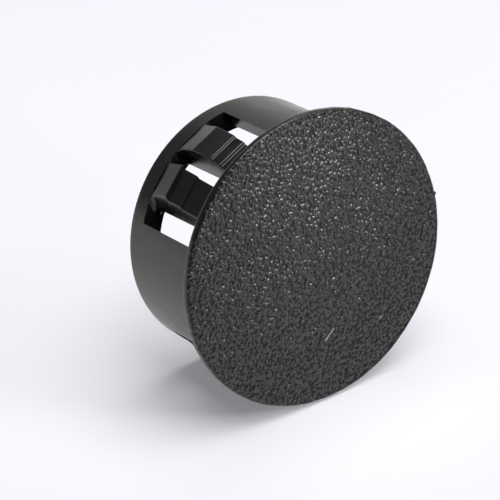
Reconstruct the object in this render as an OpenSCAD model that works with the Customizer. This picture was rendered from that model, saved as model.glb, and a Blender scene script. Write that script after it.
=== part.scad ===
// Snap-in desk grommet cap: a textured cover disc on a short barrel whose
// windows hold pairs of stepped latch fingers.
// The origin is on the axis, in the plane of the disc's underside, where the
// desk top's surface lies. The nose points down.

/* [Cover disc] */
// Diameter of the cover disc
disc_d = 43.6; // [41:0.1:46]
// Thickness of the cover disc
disc_t = 1.2; // [1:0.1:1.8]
// Radius of the rounding around the disc's front edge
edge_round = 0.45; // [0.2:0.05:0.7]
// Extra thickness of the disc inside the barrel
centre_t = 0.2; // [0.1:0.05:0.3]

/* [Barrel] */
// Outside diameter of the collar, the part of the barrel that fills the hole
barrel_d = 37.4; // [37:0.1:38]
// Draft of the barrel's outside below the collar
barrel_draft = 0.1; // [0.1:0.05:0.5]
// Thickness of the barrel's wall
wall_t = 1.8; // [1.4:0.1:2]
// Depth of the barrel under the disc
barrel_h = 17.95; // [17:0.05:20]
// Depth of the unbroken collar under the disc
collar_h = 1.2; // [0.8:0.1:1.5]
// Height of the ring around the nose
ring_h = 2.85; // [2.5:0.05:3.6]
// Inside diameter of the nose ring
ring_bore = 31; // [30:0.1:31.6]
// Chamfer around the nose's outside edge
nose_chamfer = 0.2; // [0.1:0.05:0.5]

/* [Windows] */
// Angle that each window takes around the barrel
window_angle = 62.4; // [58:0.1:64]
// Angle from a window's middle to the line that its side walls run along
skew_angle = 20.5; // [18:0.5:22]

/* [Latch fingers] */
// Angle from a window's middle to its thin-panel finger
thin_at = -12.75; // [-13:0.05:-11.5]
// Angle from a window's middle to its thick-panel finger
thick_at = 9.8; // [9.5:0.05:11]
// Width of a thin-panel finger at its root, square to its side walls
thin_w = 5; // [4.2:0.1:5.2]
// Width of a thick-panel finger at its root, square to its side walls
thick_w = 4.45; // [3.6:0.05:4.6]
// Radius out to a finger's root
root_r = 18.4; // [18:0.05:18.4]
// Radius out to a finger's barb
barb_r = 19.5; // [19.3:0.05:19.7]
// Radius in to a finger's inner face
inner_r = 16.3; // [16:0.05:16.5]
// Draft of a finger's side walls
side_draft = 0.6; // [0:0.1:1.5]
// Gap between a finger's tip and the collar
tip_gap = 1.1; // [0.8:0.1:1.5]

/* [Finger roots] */
// Length of the round knuckle that a finger turns on
knuckle_len = 3; // [2.4:0.1:3.2]
// Clearance around a knuckle in its socket
socket_gap = 0.05; // [0.03:0.01:0.1]
// Gap under a finger's foot, beside its knuckle
foot_gap = 0.3; // [0.28:0.01:0.4]

/* [Hidden] */
$fn = 96;

groups = 3;
group_pitch = 360 / groups;
first_group = 30;

disc_r = disc_d / 2;
barrel_r = barrel_d / 2;
ring_top = ring_h - barrel_h;
ring_top_r = drafted_r(ring_top);
nose_r = drafted_r(-barrel_h);
tip_z = -collar_h - tip_gap;
knuckle_r = (root_r - inner_r) / 2;
knuckle_at = (root_r + inner_r) / 2;

// Radius at which a finger's angle is measured
finger_r = 19;
// Reach of the cutting and trimming prisms
reach = 30;
// Steps in each outer face: height of one step, and how far a level falls towards the tip
step_drop = 0.35;
level_fall = 0.2;

black = "#29292b";

// Angle of the middle of window number k
function group_angle(k) = first_group + group_pitch * (k - 1);
// Angle of the line that the side walls in window k run along
function skew_line(k) = group_angle(k) - skew_angle;
// How far a finger's middle has moved around at radius r, because its sides run askew
function side_shift(at, r) = (finger_r - r) * tan(at + skew_angle);

// Outer face of a thin-panel finger: lead-in ramp, a long level, then two steps down to the tip
thin_face = [
    [root_r, ring_top + foot_gap],
    [barb_r, -11.15],
    [barb_r - level_fall, -7],
    [barb_r - level_fall - step_drop, -6.9],
    [barb_r - 1.5 * level_fall - step_drop, -5],
    [barb_r - 1.5 * level_fall - 2 * step_drop, -4.9],
    [barb_r - 2.5 * level_fall - 2 * step_drop, tip_z]
];

// Outer face of a thick-panel finger: lead-in ramp, one deep catch close behind the barb, then
// one step down to the tip
thick_face = [
    [root_r, ring_top + foot_gap],
    [barb_r, -10.8],
    [barb_r - 0.6, -10.6],
    [barb_r - 0.7, -7.3],
    [barb_r - 0.7 - step_drop, -7.2],
    [barb_r - 0.9 - step_drop, tip_z]
];

// Outside radius of the barrel at height z below the collar
function drafted_r(z) = barrel_r + (z + collar_h) * tan(barrel_draft);

// Everything between the two side walls of window k, from the axis outwards
module window_space(k) {
    side = window_angle / 2;
    low = barrel_r * sin(skew_angle - side);
    high = barrel_r * sin(skew_angle + side);
    rotate([0, 0, skew_line(k)])
        translate([0, low, -barrel_h]) cube([reach, high - low, barrel_h]);
}

// The cover: a thin disc with a rounded front edge, a little thicker inside the barrel
module cover_disc() {
    color(black)
    rotate_extrude() {
        translate([0, -centre_t]) square([barrel_r, disc_t]);
        square([disc_r, disc_t - edge_round]);
        square([disc_r - edge_round, disc_t]);
        intersection() {
            translate([disc_r - edge_round, disc_t - edge_round]) circle(r = edge_round);
            square([disc_r, disc_t]);
        }
    }
}

// The unbroken top of the barrel, which fills the hole under the disc
module collar() {
    color(black)
    rotate_extrude()
        translate([barrel_r - wall_t, -collar_h]) square([wall_t, collar_h - centre_t]);
}

// The barrel's solid wall from window k round to the next window
module wall_panel(k) {
    color(black)
    difference() {
        rotate([0, 0, group_angle(k)])
            rotate_extrude(angle = group_pitch)
                polygon([
                    [barrel_r - wall_t, ring_top],
                    [ring_top_r, ring_top],
                    [barrel_r, -collar_h],
                    [barrel_r - wall_t, -collar_h]
                ]);
        window_space(k);
        window_space(k + 1);
    }
}

// The ring that closes the nose, with a socket for every finger's knuckle
module nose_ring() {
    color(black)
    difference() {
        rotate_extrude()
            polygon([
                [ring_bore / 2, -barrel_h],
                [nose_r - nose_chamfer, -barrel_h],
                [nose_r, nose_chamfer - barrel_h],
                [ring_top_r, ring_top],
                [ring_bore / 2, ring_top]
            ]);
        for (k = [1 : groups]) {
            knuckle(k, thin_at, socket_gap, 4 * socket_gap);
            knuckle(k, thick_at, socket_gap, 4 * socket_gap);
        }
    }
}

// The round root of the finger at angle "at" in window k, grown for a socket
module knuckle(k, at, grow_r = 0, grow_end = 0) {
    rotate([0, 0, group_angle(k) + at])
        translate([knuckle_at, side_shift(at, knuckle_at), ring_top])
            rotate([90, 0, 0])
                cylinder(r = knuckle_r + grow_r, h = knuckle_len + 2 * grow_end, center = true);
}

// One latch finger: its outer face carried across the barrel, trimmed by two side walls that run
// along the window's skew line and draw together towards the tip
module finger(k, at, width, face) {
    middle = finger_r * sin(at + skew_angle);
    foot = ring_top + foot_gap;
    narrowing = (tip_z - foot) * tan(side_draft);
    color(black) {
        union() {
            intersection() {
                rotate([90, 0, group_angle(k) + at])
                    linear_extrude(height = reach / 2, center = true)
                        polygon(concat([[inner_r, foot]], face, [[inner_r, tip_z]]));
                rotate([90, 0, skew_line(k) + 90])
                    linear_extrude(height = reach)
                        polygon([
                            [middle - width / 2, foot],
                            [middle + width / 2, foot],
                            [middle + width / 2 - narrowing, tip_z],
                            [middle - width / 2 + narrowing, tip_z]
                        ]);
            }
            knuckle(k, at);
        }
    }
}

module thin_panel_finger(k) { finger(k, thin_at, thin_w, thin_face); }
module thick_panel_finger(k) { finger(k, thick_at, thick_w, thick_face); }

cover_disc();
collar();
wall_panel(1);  // wall_panel_1
wall_panel(2);  // wall_panel_2
wall_panel(3);  // wall_panel_3
nose_ring();
thin_panel_finger(1);  // thin_panel_finger_1
thin_panel_finger(2);  // thin_panel_finger_2
thin_panel_finger(3);  // thin_panel_finger_3
thick_panel_finger(1);  // thick_panel_finger_1
thick_panel_finger(2);  // thick_panel_finger_2
thick_panel_finger(3);  // thick_panel_finger_3
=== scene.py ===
import math

import bpy
import numpy as np
from mathutils import Matrix, Vector


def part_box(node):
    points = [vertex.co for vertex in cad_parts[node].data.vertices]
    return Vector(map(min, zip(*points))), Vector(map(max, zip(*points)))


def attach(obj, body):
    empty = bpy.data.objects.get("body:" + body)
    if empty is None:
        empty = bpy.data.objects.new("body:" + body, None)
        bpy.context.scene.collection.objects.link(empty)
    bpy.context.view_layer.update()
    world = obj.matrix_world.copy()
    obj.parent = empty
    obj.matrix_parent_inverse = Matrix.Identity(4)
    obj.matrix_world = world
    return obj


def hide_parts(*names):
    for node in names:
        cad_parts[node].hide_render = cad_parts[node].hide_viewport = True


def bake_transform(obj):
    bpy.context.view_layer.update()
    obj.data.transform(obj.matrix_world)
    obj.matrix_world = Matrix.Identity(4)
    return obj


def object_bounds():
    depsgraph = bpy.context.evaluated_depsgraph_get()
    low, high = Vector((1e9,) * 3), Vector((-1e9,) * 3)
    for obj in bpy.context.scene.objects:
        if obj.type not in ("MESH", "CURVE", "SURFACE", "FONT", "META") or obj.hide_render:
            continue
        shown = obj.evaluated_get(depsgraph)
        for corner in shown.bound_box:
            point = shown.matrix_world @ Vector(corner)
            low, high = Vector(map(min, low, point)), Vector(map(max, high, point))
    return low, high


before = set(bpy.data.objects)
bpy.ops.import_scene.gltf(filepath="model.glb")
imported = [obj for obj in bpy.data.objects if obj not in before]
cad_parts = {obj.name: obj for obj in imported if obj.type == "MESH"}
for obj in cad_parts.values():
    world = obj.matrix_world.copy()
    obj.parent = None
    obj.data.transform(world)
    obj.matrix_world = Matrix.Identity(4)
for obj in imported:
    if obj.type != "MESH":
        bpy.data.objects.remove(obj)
cad_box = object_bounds()
MM = 0.001


# ---------------------------------------------------------------- how it lies, and the camera
# The cap lies on a table on its side: the disc's rim and the nose's rim both touch it, so the
# axis leans a little. The camera looks down on the disc from the front, over its upper left.
disc_r = cad_box[1].x / MM
nose_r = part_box("nose_ring")[1].x / MM
barrel_h = -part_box("nose_ring")[0].z / MM

touch_angle = math.radians(291.97)
lean = math.atan2(disc_r - nose_r, barrel_h)
touch = Vector((math.cos(touch_angle), math.sin(touch_angle), 0))
table_up = math.sin(lean) * Vector((0, 0, 1)) - math.cos(lean) * touch

camera_back = Vector((-0.61245, 0.21056, 0.7619)).normalized()
camera_right = table_up.cross(camera_back).normalized()
camera_up = camera_back.cross(camera_right)
camera_place = Vector((-228.6, 75.4, 270.5)) * MM
camera_field = math.radians(11)


def turned(right, up, back, place):
    """The matrix of something at a place, with its own X, Y and Z along right, up and back."""
    matrix = Matrix((right, up, back)).transposed().to_4x4()
    matrix.translation = place
    return matrix


camera = bpy.data.objects.new("camera", bpy.data.cameras.new("camera"))
camera.data.angle = camera_field
camera.data.clip_start = 0.01
camera.matrix_world = turned(camera_right, camera_up, camera_back, camera_place)
bpy.context.scene.collection.objects.link(camera)
bpy.context.scene.camera = camera
bpy.context.scene.view_settings.view_transform = "Standard"


# ---------------------------------------------------------------- the pale table and the lights
# A plain near-white table top and a low white backdrop. A broad soft box hangs overhead, a smaller
# one stands on the right, and a tiny lamp low on the right is aimed at the cap. Seen from
# underneath, the table top lets the view through, so that it hides nothing.
table_size = 3.0
table_white = (0.89, 0.89, 0.89)
table_seen_white = (0.925, 0.918, 0.975)
table_glow = 0.22
room_dark = (0.04, 0.04, 0.04)
backdrop_low = (0.95, 0.94, 0.925)
backdrop_high = (0.50, 0.49, 0.48)
room_seen_white = (0.93, 0.922, 0.983)


class Wire:
    """A number, colour or vector that a material works out at each point of a surface. Numbers
    add and multiply with + and *."""

    def __init__(self, finish, socket):
        self.finish, self.socket = finish, socket

    def math(self, operation, first, second):
        return self.finish.node("ShaderNodeMath", {"operation": operation}, [first, second])

    def __add__(self, other): return self.math("ADD", self, other)
    def __radd__(self, other): return self.math("ADD", other, self)
    def __mul__(self, other): return self.math("MULTIPLY", self, other)
    def __rmul__(self, other): return self.math("MULTIPLY", other, self)


class Finish:
    """A material while it is put together. node() adds any node and gives one of its outputs."""

    def __init__(self, name, world=None):
        self.material = world or bpy.data.materials.new(name)
        self.material.use_nodes = True
        self.tree = self.material.node_tree
        self.shader = self.tree.nodes.get("Principled BSDF")

    def put(self, socket, value):
        """Links a wire to a socket, or sets the socket to a plain value."""
        if isinstance(value, Wire):
            self.tree.links.new(value.socket, socket)
        else:
            socket.default_value = value

    def node(self, kind, settings, values, output=0):
        """Adds a node, sets its settings, then its sockets: a list in order, or a dict by name."""
        node = self.tree.nodes.new(kind)
        for name, setting in settings.items():
            setattr(node, name, setting)
        named = values.items() if isinstance(values, dict) else enumerate(values)
        for name, value in named:
            self.put(node.inputs[name], value)
        return Wire(self, node.outputs[output])

    def set(self, **values):
        """Sets or links sockets of the surface shader, with _ for each space in a name."""
        for name, value in values.items():
            self.put(self.shader.inputs[name.replace("_", " ")], value)

    def place(self):
        """The point on the object in metres."""
        return self.node("ShaderNodeTexCoord", {}, [], "Object")

    def noise(self, place, size, detail, roughness=0.5):
        """Soft noise from 0 to 1, with lumps of about the given size in millimetres."""
        values = {"Vector": place, "Scale": 1 / (size * MM), "Detail": detail,
                  "Roughness": roughness}
        return self.node("ShaderNodeTexNoise", {}, values, "Fac")

    def ramp(self, wire, low, high, to_low=0.0, to_high=1.0):
        """Takes low..high to to_low..to_high smoothly, and holds the ends beyond it."""
        settings = {"interpolation_type": "SMOOTHSTEP"}
        return self.node("ShaderNodeMapRange", settings, [wire, low, high, to_low, to_high])

    def blend(self, share, first, second):
        """Mixes two colours, with the second one's share from 0 to 1."""
        settings = {"data_type": "RGBA"}
        values = {0: share, 6: (*first, 1) if isinstance(first, tuple) else first,
                  7: (*second, 1) if isinstance(second, tuple) else second}
        return self.node("ShaderNodeMix", settings, values, 2)

    def bump(self, height, distance, strength):
        """The normal of a surface raised by height times a distance in millimetres."""
        values = {"Height": height, "Distance": distance * MM, "Strength": strength}
        return self.node("ShaderNodeBump", {}, values)


half = table_size / 2
contact = (disc_r + 0.02) * MM * touch
near = camera_right.cross(table_up)
corners = [contact + x * camera_right + y * near for x, y in
           ((-half, -half), (-half, half), (half, half), (half, -half))]
table_mesh = bpy.data.meshes.new("table_top")
table_mesh.from_pydata(corners, [], [(0, 1, 2, 3)])
table_top = bpy.data.objects.new("table_top", table_mesh)
bpy.context.scene.collection.objects.link(table_top)

table_finish = Finish("table_white")
underneath = table_finish.node("ShaderNodeNewGeometry", {}, [], "Backfacing")
seen = table_finish.node("ShaderNodeLightPath", {}, [], "Is Camera Ray")
tint = table_finish.blend(seen, table_white, table_seen_white)
matt = table_finish.node("ShaderNodeBsdfDiffuse", {}, [tint])
glow = table_finish.node("ShaderNodeEmission", {}, [tint, 1.0])
clear = table_finish.node("ShaderNodeBsdfTransparent", {}, [(1, 1, 1, 1)])
top_side = table_finish.node("ShaderNodeMixShader", {}, [table_glow, matt, glow])
surface = table_finish.node("ShaderNodeMixShader", {}, [underneath * seen, top_side, clear])
table_finish.put(table_finish.tree.nodes["Material Output"].inputs["Surface"], surface)
table_mesh.materials.append(table_finish.material)

# The room's light by direction: white backdrop low and ahead, fading out upwards, towards the
# camera and to the left, and darker up its own height.
world = bpy.data.worlds.new("studio_room")
world.use_nodes = True
room = Finish("studio_room", world)
way = room.node("ShaderNodeTexCoord", {}, [], "Generated")
rise, ahead, aside = (
    room.node("ShaderNodeVectorMath", {"operation": "DOT_PRODUCT"}, [way, axis], "Value")
    for axis in (table_up, near, camera_right))
backdrop_share = (room.ramp(rise, 0.55, 0.40) * room.ramp(ahead, 0.35, -0.1)
                  * room.ramp(aside, -0.85, -0.25, 0.1, 1))
backdrop = room.blend(room.ramp(rise, 0.20, 0.02), backdrop_high, backdrop_low)
lit = room.blend(backdrop_share, room_dark, backdrop)
room_seen = room.node("ShaderNodeLightPath", {}, [], "Is Camera Ray")
room.put(room.tree.nodes["Background"].inputs["Color"],
         room.blend(room_seen, lit, room_seen_white))
bpy.context.scene.world = world


def soft_box(name, right, up, toward, size, power, spread=180):
    """A square lamp aimed at the cap, placed by metres to the right, up and toward the camera. Its
    size is in metres and its power in watts. A honeycomb grid can hold its light to a beam that
    spreads by some degrees."""
    lamp = bpy.data.lights.new(name, "AREA")
    lamp.size, lamp.energy, lamp.spread = size, power, math.radians(spread)
    place = right * camera_right + up * table_up + toward * near
    holder = bpy.data.objects.new(name, lamp)
    holder.visible_camera = False
    back = place.normalized()
    side = table_up.cross(back).normalized()
    holder.matrix_world = turned(side, back.cross(side), back, place)
    bpy.context.scene.collection.objects.link(holder)


soft_box("top_box", 0.05, 0.60, -0.05, 0.60, 4.5)
soft_box("side_box", 0.50, 0.33, 0.05, 0.25, 0.5)
soft_box("key_box", 0.062, 0.028, 0.035, 0.022, 0.0035, 50)


# ---------------------------------------------------------------- the cover disc
# The cap's face: a thin round disc of black nylon, moulded in one shot with the barrel behind it.
# Its front has a coarse irregular grain from a spark-eroded mould, and its rounded rim is smooth,
# with a few tiny nibs of flash where the mould closed.
disc_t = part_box("cover_disc")[1].z / MM
centre_t = 0.2
edge_round = 0.45
back_round = 0.12
rim_slack = 0.09
rim_start = 19.5
rim_width = 1.5
face_rings = 160
front_steps = 7
grain_side = 49.0
grain_cells = 1024
pebbles_across = 104
grain_height = 0.085
grain_fade = 0.2
ragged_height = 0.05
# Nibs of flash on the rim, and one nick: place in degrees, height in millimetres, width in degrees.
flash_nibs = ((29.5, 0.30, 0.5), (89.0, 0.07, 0.4), (268.0, 0.05, 0.5), (211.0, -0.10, 0.7))
# Pale rubs: each a short line between two points on the face.
rub_lines = (((13.9, -8.1), (14.1, -7.9)), ((4.85, -11.67), (5.85, -10.0)))
rub_half_width = 0.1


def band_noise(side, cells, shortest, longest, seed):
    """A square sheet of noise that holds only waves between two lengths: random numbers are
    Fourier transformed, each wave is scaled by a smooth window over its length, and the sheet
    is transformed back and scaled to a spread of 1."""
    sheet = np.fft.fft2(np.random.default_rng(seed).standard_normal((cells, cells)))
    waves = np.fft.fftfreq(cells, side / cells)
    per_mm = np.hypot(waves[:, None], waves[None, :]) + 1e-9
    window = np.exp(-(per_mm * shortest) ** 4) * (1 - np.exp(-(per_mm * longest) ** 4))
    sheet = np.fft.ifft2(sheet * window).real
    return sheet / sheet.std()


def sampled(sheet, side, x, y):
    """The sheet's value at points x, y, mixed from the four cells around each point."""
    cells = len(sheet)
    column, row = (x / side + 0.5) * cells, (y / side + 0.5) * cells
    i, j = np.floor(column).astype(int), np.floor(row).astype(int)
    s, t = column - i, row - j
    i, j, i1, j1 = i % cells, j % cells, (i + 1) % cells, (j + 1) % cells
    lower = sheet[j, i] * (1 - s) + sheet[j, i1] * s
    upper = sheet[j1, i] * (1 - s) + sheet[j1, i1] * s
    return lower * (1 - t) + upper * t


def pebble_sheet(across, cells, seed):
    """A square sheet of round-topped pebbles. Their middles are scattered points, one in each
    square of a grid, and the height at a spot is the greatest of top - 2.6 (distance / spacing)^2
    over the middles around it."""
    random = np.random.default_rng(seed)
    away_x, away_y = random.uniform(0, 1, (2, across, across))
    top = random.uniform(0.3, 1.0, (across, across))
    spot = (np.arange(cells) + 0.5) * across / cells
    column, row = np.meshgrid(spot, spot)
    sheet = np.full((cells, cells), -9.0)
    for up in (-1, 0, 1):
        for along in (-1, 0, 1):
            i = np.floor(column).astype(int) + along
            j = np.floor(row).astype(int) + up
            at = (j % across, i % across)
            gap = (column - i - away_x[at]) ** 2 + (row - j - away_y[at]) ** 2
            sheet = np.maximum(sheet, top[at] - 2.6 * gap)
    return sheet


def grain(x, y):
    """Height of the eroded grain from -1 to 1: rounded pebbles about half a millimetre across
    with narrow pits between them, plus a quarter of a noise with waves of 0.3 to 0.8 mm."""
    pebbles = sampled(pebble_sheet(pebbles_across, grain_cells, 5), grain_side, x, y)
    pits = sampled(band_noise(grain_side, grain_cells, 0.3, 0.8, 12), grain_side, x, y)
    return np.clip(pebbles - 0.15 + 0.25 * pits, -1, 1)


def stitched(first, first_count, second, second_count):
    """Triangles between two neighbouring rings of evenly spaced points. Each edge of one ring
    goes to the point of the other that lies nearest to it in angle."""
    i, j = np.arange(first_count), np.arange(second_count)
    across = np.ceil((i + 0.5) * second_count / first_count - 0.5).astype(int) % second_count
    back = np.floor((j + 0.5) * first_count / second_count + 0.5).astype(int) % first_count
    rows = []
    if first_count > 1:
        rows.append(np.stack([first + i, second + across, first + (i + 1) % first_count], 1))
    if second_count > 1:
        rows.append(np.stack([second + j, second + (j + 1) % second_count, first + back], 1))
    return np.concatenate(rows)


def piece(name, points, faces, finish):
    """A smooth-shaded object from points in millimetres and faces that all have equal sides."""
    mesh = bpy.data.meshes.new(name)
    mesh.vertices.add(len(points))
    mesh.vertices.foreach_set("co", (points * MM).astype(np.float32).ravel())
    sides = faces.shape[1]
    mesh.loops.add(faces.size)
    mesh.loops.foreach_set("vertex_index", faces.astype(np.int32).ravel())
    mesh.polygons.add(len(faces))
    mesh.polygons.foreach_set("loop_start", np.arange(0, faces.size, sides, dtype=np.int32))
    mesh.update(calc_edges=True)
    mesh.validate()
    mesh.shade_smooth()
    mesh.materials.append(finish.material)
    made = bpy.data.objects.new(name, mesh)
    bpy.context.scene.collection.objects.link(made)
    return made


def quarter(end, steps):
    """Evenly spaced angles of an arc from 0 to an end in degrees, without the 0."""
    return np.radians(np.linspace(0, end, steps + 1)[1:])


def disc_rings():
    """Radius, height, outward tilt and number of points of every ring of the disc, from the
    middle of the front, over the rounded rim, to the middle of the back."""
    rim_r = disc_r - rim_slack
    face = np.arange(face_rings + 1) * (rim_r - edge_round) / face_rings
    front = quarter(90, front_steps)
    side = np.array([0.55, 0.4, 0.25])
    back = quarter(90, 3)
    under = np.array([20.6, 19.6, 18.6, 16.0, 12.0, 8.0, 4.0, 0.0])
    radius = np.concatenate([face, rim_r - edge_round * (1 - np.sin(front)),
                             np.full(3, rim_r), rim_r - back_round * (1 - np.cos(back)), under])
    height = np.concatenate([np.full(len(face), disc_t), disc_t - edge_round * (1 - np.cos(front)),
                             side, back_round * (1 - np.sin(back)), np.zeros(3),
                             np.full(5, -centre_t)])
    tilt = np.zeros(len(radius))
    tilt[len(face):len(face) + len(front)] = front
    count = np.full(len(radius), 6 * face_rings)
    count[:face_rings + 1] = np.maximum(1, 6 * np.arange(face_rings + 1))
    count[-7:] = [450, 450, 240, 120, 60, 30, 1]
    return radius, height, tilt, count


def rubbed(x, y, first, last):
    """Strength from 0 to 1 of a pale rub along the line between two points: exp(-(gap / width)^2),
    with the gap to the line and the rub's half width in millimetres."""
    first, last = np.array(first), np.array(last)
    way = last - first
    share = np.clip(((x - first[0]) * way[0] + (y - first[1]) * way[1]) / (way @ way), 0, 1)
    gap = np.hypot(x - first[0] - share * way[0], y - first[1] - share * way[1])
    return np.exp(-(gap / rub_half_width) ** 2)


grained = Finish("grained_nylon")
radius, height, tilt, count = disc_rings()
start = np.concatenate([[0], np.cumsum(count)])
angle = np.concatenate([np.arange(n) * 2 * math.pi / n for n in count])
radius, height, tilt = (np.repeat(values, count) for values in (radius, height, tilt))

# The rim isn't quite round: it wavers in waves of three lengths and carries the nibs.
on_rim = np.clip((radius - rim_start) / rim_width, 0, 1)
turn = np.degrees(angle)
for nib_at, nib_out, nib_wide in flash_nibs:
    across = ((turn - nib_at + 180) % 360 - 180) / nib_wide
    radius = radius + on_rim * nib_out * np.exp(-across ** 2)
waver = 0.018 * np.sin(7 * angle + 1) + 0.014 * np.sin(17 * angle) + 0.012 * np.sin(41 * angle + 2)
radius = radius + on_rim * waver
x, y = radius * np.cos(angle), radius * np.sin(angle)

# The grain sinks into the face by (fade - relief) times its height, square to the surface, and
# fades out past the start of the rounded rim, further over it on one side than on the other.
# The rim's edge is ragged where the grain comes close to it.
is_front = np.arange(len(x)) < start[face_rings + front_steps]
relief = grain(x, y)
near_front = np.clip(height / disc_t, 0, 1) ** 2
ragged = ragged_height * relief * on_rim * near_front * (0.6 - 0.4 * np.cos(angle))
past = np.minimum(radius - disc_r + rim_slack + edge_round, 0) + edge_round * tilt
reach = 0.36 - 0.3 * np.cos(angle + 0.3)
fade = np.clip((reach + 0.15 * relief - past) / grain_fade, 0, 1) * is_front
relief = relief * fade
rise = grain_height * (relief - fade)
height = height + rise * np.cos(tilt)
radius = radius + rise * np.sin(tilt) + ragged
x, y = radius * np.cos(angle), radius * np.sin(angle)
faces = np.concatenate([stitched(start[i], count[i], start[i + 1], count[i + 1])
                        for i in range(len(count) - 1)])
cover = piece("grained_cover", np.stack([x, y, height], 1), faces, grained)
rub = np.maximum(*(rubbed(x, y, first, last) for first, last in rub_lines))
for layer, values in (("relief", 0.5 + 0.5 * relief), ("rub", rub * is_front)):
    cover.data.attributes.new(layer, "FLOAT", "POINT").data.foreach_set(
        "value", values.astype(np.float32))
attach(cover, "moulding")
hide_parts("cover_disc")

# Satin black: pits a little duller than the pebble tops and painted darker in their base colour as
# shade in the hollows, with a clear sheen on the tops alone, fine pitting all over, a slow random
# tone, and the pale rubs.
place = grained.place()
relief_value = grained.node("ShaderNodeAttribute", {"attribute_name": "relief"}, [], "Fac")
cloud = grained.noise(place, 6.0, 3)
pitting = grained.noise(place, 0.16, 3, 0.6)
# Painted shade: the base colour darkens in the grain's pits by the relief, mixed with a slow random
# tone.
pit_shade_and_tone = grained.ramp(relief_value * 0.8 + cloud * 0.2, 0.25, 0.75)
rub_value = grained.node("ShaderNodeAttribute", {"attribute_name": "rub"}, [], "Fac")
black_with_pit_shade = grained.blend(pit_shade_and_tone, (0.005, 0.005, 0.005), (0.013, 0.013, 0.0131))
grained.set(Base_Color=grained.blend(rub_value * 0.8, black_with_pit_shade, (0.45, 0.45, 0.44)),
            Roughness=grained.ramp(relief_value * 0.6 + pitting * 0.4, 0.2, 0.8, 0.40, 0.26),
            Specular_IOR_Level=0.17, Coat_Roughness=0.2,
            Coat_Weight=grained.ramp(relief_value, 0.3, 0.7, 0.25, 1.0),
            Normal=grained.bump(pitting, 0.03, 0.8))


# ---------------------------------------------------------------- the barrel
# The short barrel behind the disc: a collar that fills the hole, three solid walls with windows
# between them, and a thicker ring round the nose. It is the same shot of nylon as the disc, left
# smooth. The windows' side walls all run along one line, so that the mould's slides can draw.
barrel_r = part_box("collar")[1].x / MM
wall_t = 1.95
wall_r = barrel_r - wall_t
bore_r = 15.5
collar_h = -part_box("collar")[0].z / MM
ring_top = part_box("nose_ring")[1].z / MM
nose_round = 0.15
corner_round = 0.3
sunk = 0.3
barrel_draft = math.radians(0.1)
edge_softness = 0.06
columns_each = 42
row_slack = 0.01
groups = 3
first_group = math.radians(30)
window_half = math.radians(62.4 / 2)
skew = math.radians(20.5)


def barrel_rows():
    """Heights of the rows of the barrel's block and the radius of its outside at each: a rounded
    nose rim, a straight drafted outside, and a small concave corner under the disc, which the
    last row carries on into the disc."""
    rim = np.radians(np.linspace(0, 90, 6))
    corner = np.radians(np.linspace(0, 90, 5))
    nose = -barrel_h + nose_round * (1 - np.cos(rim))
    z = np.concatenate([nose, np.linspace(nose[-1], ring_top, 6)[1:],
                        np.linspace(ring_top, -collar_h, 19)[1:],
                        np.linspace(-collar_h, -corner_round, 4)[1:],
                        (corner_round * (np.sin(corner) - 1))[1:], [sunk]])
    outside = barrel_r + np.minimum(z + collar_h, 0) * math.tan(barrel_draft)
    outside[:6] -= nose_round * (1 - np.sin(rim))
    outside[-5:-1] += corner_round * (1 - np.cos(corner[1:]))
    outside[-1] = outside[-2]
    return z, outside


def window_sides(r, group):
    """Angles of the two side walls of a window at radius r. Each wall is a plane along the
    window's skew line, at a fixed distance from the axis."""
    far = [barrel_r * math.sin(skew + side * window_half) for side in (-1, 1)]
    middle = first_group + group * 2 * math.pi / groups
    return [middle - skew + np.arcsin(d / r) for d in far]


def barrel_columns(r):
    """Angles of the columns at radius r, row by row: each window and each wall takes the same
    number of columns, evenly spread between the side walls."""
    turns = []
    share = np.arange(columns_each)[None, :] / columns_each
    for group in range(groups):
        low, high = window_sides(r, group)
        following = window_sides(r, group + 1)[0]
        turns.append(low[:, None] + (high - low)[:, None] * share)
        turns.append(high[:, None] + (following - high)[:, None] * share)
    return np.concatenate(turns, 1)


def block_skin(solid):
    """Outside faces of a block of cells, layer by layer outwards, row by row up, and closed round
    its columns. A face lies wherever a solid cell meets an empty one, and looks out of it."""
    layers, rows, columns = solid.shape
    ids = np.arange((layers + 1) * (rows + 1) * columns).reshape(layers + 1, rows + 1, columns)
    full = np.pad(solid.astype(int), ((1, 1), (1, 1), (0, 0)))
    full = np.concatenate([full[..., -1:], full, full[..., :1]], 2)
    round_ids = np.concatenate([ids, ids[..., :1]], 2)
    quads = []
    for axis, one, two in ((0, 1, 2), (1, 0, 2), (2, 0, 1)):
        core = [slice(None) if a == axis else slice(1, -1) for a in range(3)]
        change = np.diff(full[tuple(core)], axis=axis)
        if axis == 2:
            change = change[..., :columns]
        spot = np.nonzero(change)
        corners = []
        for a, b in ((0, 0), (1, 0), (1, 1), (0, 1)):
            at = list(spot)
            at[one] = at[one] + a
            at[two] = at[two] + b
            corners.append(round_ids[tuple(at)])
        quad = np.stack(corners, 1)
        flip = change[spot] == (1 if axis == 1 else -1)
        quad[flip] = quad[flip][:, ::-1]
        quads.append(quad)
    return np.concatenate(quads)


smooth = Finish("smooth_nylon")

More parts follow.
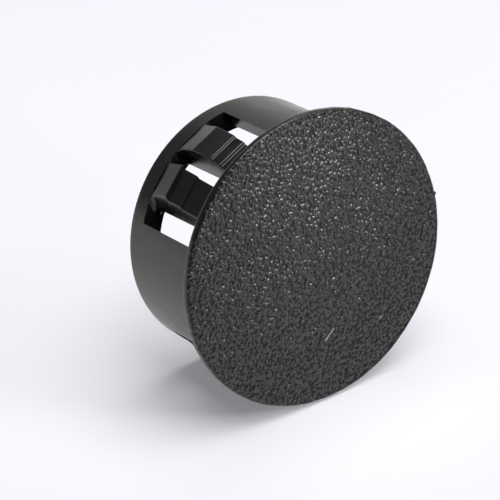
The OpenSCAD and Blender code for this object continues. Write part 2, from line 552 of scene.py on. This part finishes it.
# The block has two layers of cells: the ring's extra thickness inside, and the wall outside it.
row_z, row_r = barrel_rows()
rows = len(row_z)
layer_r = np.stack([np.full(rows, bore_r), np.full(rows, wall_r), row_r])
layer_r[1, -5:] -= row_r[-5:] - barrel_r
layer_turn = np.stack([barrel_columns(layer_r[1]), barrel_columns(layer_r[1]),
                       barrel_columns(np.minimum(row_r, barrel_r))])
columns = layer_turn.shape[2]
in_ring = row_z[1:] < ring_top + row_slack
in_collar = row_z[:-1] > -collar_h - row_slack
is_wall = np.arange(columns) // columns_each % 2 == 1
solid = np.zeros((2, rows - 1, columns), bool)
solid[:, in_ring] = True
solid[1, in_collar] = True
solid[1, :, is_wall] = True
points = np.stack([layer_r[..., None] * np.cos(layer_turn), layer_r[..., None] * np.sin(layer_turn),
                   np.broadcast_to(row_z[None, :, None], layer_turn.shape)], -1).reshape(-1, 3)
faces = block_skin(solid)
used, faces = np.unique(faces, return_inverse=True)
barrel = piece("barrel", points[used], faces.reshape(-1, 4), smooth)
soften = barrel.modifiers.new("soft_edges", "BEVEL")
soften.width, soften.segments, soften.limit_method = edge_softness * MM, 3, "ANGLE"
soften.angle_limit, soften.harden_normals = math.radians(35), True
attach(barrel, "moulding")
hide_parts("collar", "wall_panel_1", "wall_panel_2", "wall_panel_3", "nose_ring")

# Semi-gloss black straight off a polished tool: faint flow marks round the barrel and a slightly
# uneven sheen.
place = smooth.place()
mottle = smooth.noise(place, 5.0, 3)
fine = smooth.noise(place, 0.35, 3, 0.6)
stretched = smooth.node("ShaderNodeMapping", {}, {"Vector": place, "Scale": (1, 1, 0.25)})
flow = smooth.noise(stretched, 1.6, 2)
smooth.set(Base_Color=smooth.blend(smooth.ramp(mottle, 0.3, 0.7),
                                   (0.009, 0.009, 0.0091), (0.014, 0.014, 0.0139)),
           Specular_IOR_Level=0.64,
           Roughness=smooth.ramp(mottle * 0.85 + fine * 0.15, 0.3, 0.7, 0.20, 0.30),
           Normal=smooth.bump(flow * 0.8 + fine * 0.2, 0.008, 0.6))


# ---------------------------------------------------------------- the latch fingers
# Two springy fingers stand in each window, rooted on the nose ring and free at the tip. One has a
# long level behind its barb for thin panels, the other an earlier catch for thick ones. They are
# moulded in the same shot as the barrel, and each root spreads into the ring with soft fillets.
finger_r = 19.0
side_draft = math.radians(0.6)
tip_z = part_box("thin_panel_finger_1")[1].z / MM
foot_z = ring_top - 0.5

# Each kind's angle from the window's middle, its width at the root, the radius of its inner face,
# the radii of the root's fillets ahead of it and inside it, and its outer face from foot to tip
# as points of radius and height.
finger_kinds = {
    "thin_panel_finger": {
        "at": math.radians(-12.75), "width": 5.0, "inner": 15.9, "ahead": 1.2, "inside": 0.4,
        "face": [(18.5, foot_z), (18.5, -15.0), (19.5, -11.15), (19.35, -7.05), (19.05, -6.9),
                 (18.9, -5.05), (18.55, -4.9), (18.35, tip_z)]},
    "thick_panel_finger": {
        "at": math.radians(9.8), "width": 4.45, "inner": 16.3, "ahead": 0.8, "inside": 1.5,
        "face": [(18.5, foot_z), (18.5, -15.0), (19.5, -10.8), (18.9, -10.6), (18.8, -7.6),
                 (18.5, -7.5), (18.25, tip_z)]},
}
fillet_behind = 0.8
foot_r = 18.64
foot_slope = 0.27
step_round = 0.16
finger_edge = 0.18
tip_edge = 0.2


def corner_arcs(before, at, after, cut, steps=4):
    """Points of a short parabolic arc across every corner: (1 - t)^2 start + 2 t (1 - t) corner
    + t^2 end, with t from 0 to 1. It starts and ends a cut's length from the corner, towards the
    point before it and the point after it."""
    length_in = np.linalg.norm(before - at, axis=-1)[..., None]
    length_out = np.linalg.norm(after - at, axis=-1)[..., None]
    cut = np.minimum(cut, 0.45 * np.minimum(length_in, length_out))
    start, end = at + (before - at) / length_in * cut, at + (after - at) / length_out * cut
    start, at, end = start[..., None, :], at[..., None, :], end[..., None, :]
    t = np.linspace(0, 1, steps + 1)[:, None]
    return (1 - t) ** 2 * start + 2 * t * (1 - t) * at + t ** 2 * end


def flare(height, size):
    """How far a concave fillet of the given radius stands out at a height above its foot."""
    h = np.clip(height, 0, size)
    return size - np.sqrt(size ** 2 - (size - h) ** 2)


def finger_points(kind, group):
    """Rows of points round the finger from its foot to its tip. Every row is a four-sided section
    with rounded corners between the outer face, the inner face and two side walls along the
    window's skew line. Side walls and inner face spread at the root in concave fillets. No point
    lies further out than foot_r at the ring's top and foot_slope more for each millimetre above
    it, so that the foot stays inside the ring's edge."""
    face = np.array(kind["face"])
    arcs = corner_arcs(face[:-2], face[1:-1], face[2:], step_round)
    outline = np.concatenate([face[:1], arcs.reshape(-1, 2), face[-1:]])
    out, z = outline[:, 0], outline[:, 1]
    extra = np.concatenate([np.linspace(ring_top, ring_top + kind["ahead"], 9),
                            np.linspace(ring_top + 1.6, tip_z - tip_edge, 24)])
    tip = tip_z - tip_edge * (1 - np.sin(quarter(90, 4)))
    levels = np.unique(np.round(np.concatenate([z[z < tip_z - tip_edge], extra, tip]), 4))
    out, z = np.interp(levels, z, out), levels
    into_tip = np.clip(z - tip_z + tip_edge, 0, None)
    inset = tip_edge - np.sqrt(np.maximum(tip_edge ** 2 - into_tip ** 2, 0))
    skewed = kind["at"] + skew
    middle = finger_r * math.sin(skewed)
    above = z - ring_top
    narrow = above * math.tan(side_draft)
    low = middle - kind["width"] / 2 + narrow - flare(above, fillet_behind) + inset
    high = middle + kind["width"] / 2 - narrow + flare(above, kind["ahead"]) - inset
    out = out - inset
    inner = np.maximum(kind["inner"] - flare(above, kind["inside"]), bore_r + 0.02) + inset
    corner_x = np.stack([out, out, inner, inner], 1)
    corner_s = np.stack([low, high, high, low], 1)
    corner_y = (corner_s - corner_x * math.sin(skewed)) / math.cos(skewed)
    at = np.stack([corner_x, corner_y], -1)
    arcs = corner_arcs(np.roll(at, 1, 1), at, np.roll(at, -1, 1), finger_edge)
    section = arcs.reshape(len(z), -1, 2)
    turn = first_group + group * 2 * math.pi / groups + kind["at"]
    x = section[..., 0] * math.cos(turn) - section[..., 1] * math.sin(turn)
    y = section[..., 0] * math.sin(turn) + section[..., 1] * math.cos(turn)
    within = foot_r + np.maximum(above, 0)[:, None] * foot_slope
    shrink = np.minimum(1, within / np.hypot(x, y))
    return np.stack([x * shrink, y * shrink, np.broadcast_to(z[:, None], x.shape)], -1)


def loft_faces(rows, across):
    """Triangles of a closed loft of rows of points, with a fan to a point in the middle of each
    end. The two middle points come after the rows."""
    i, j = np.meshgrid(np.arange(rows - 1), np.arange(across), indexing="ij")
    a, b = (i * across + j).ravel(), (i * across + (j + 1) % across).ravel()
    ring = np.arange(across)
    foot, tip = rows * across, rows * across + 1
    last = (rows - 1) * across
    following = (ring + 1) % across
    return np.concatenate([np.stack([a, b, b + across], 1),
                           np.stack([a, b + across, a + across], 1),
                           np.stack([np.full(across, foot), following, ring], 1),
                           np.stack([np.full(across, tip), last + ring, last + following], 1)])


for kind_name, kind in finger_kinds.items():
    for group in range(groups):
        grid = finger_points(kind, group)
        points = np.concatenate([grid.reshape(-1, 3), grid[:1].mean(1), grid[-1:].mean(1)])
        node = f"{kind_name}_{group + 1}"
        finger = piece(node.replace("finger", "latch"), points,
                       loft_faces(grid.shape[0], grid.shape[1]), smooth)
        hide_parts(node)
        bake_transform(finger)
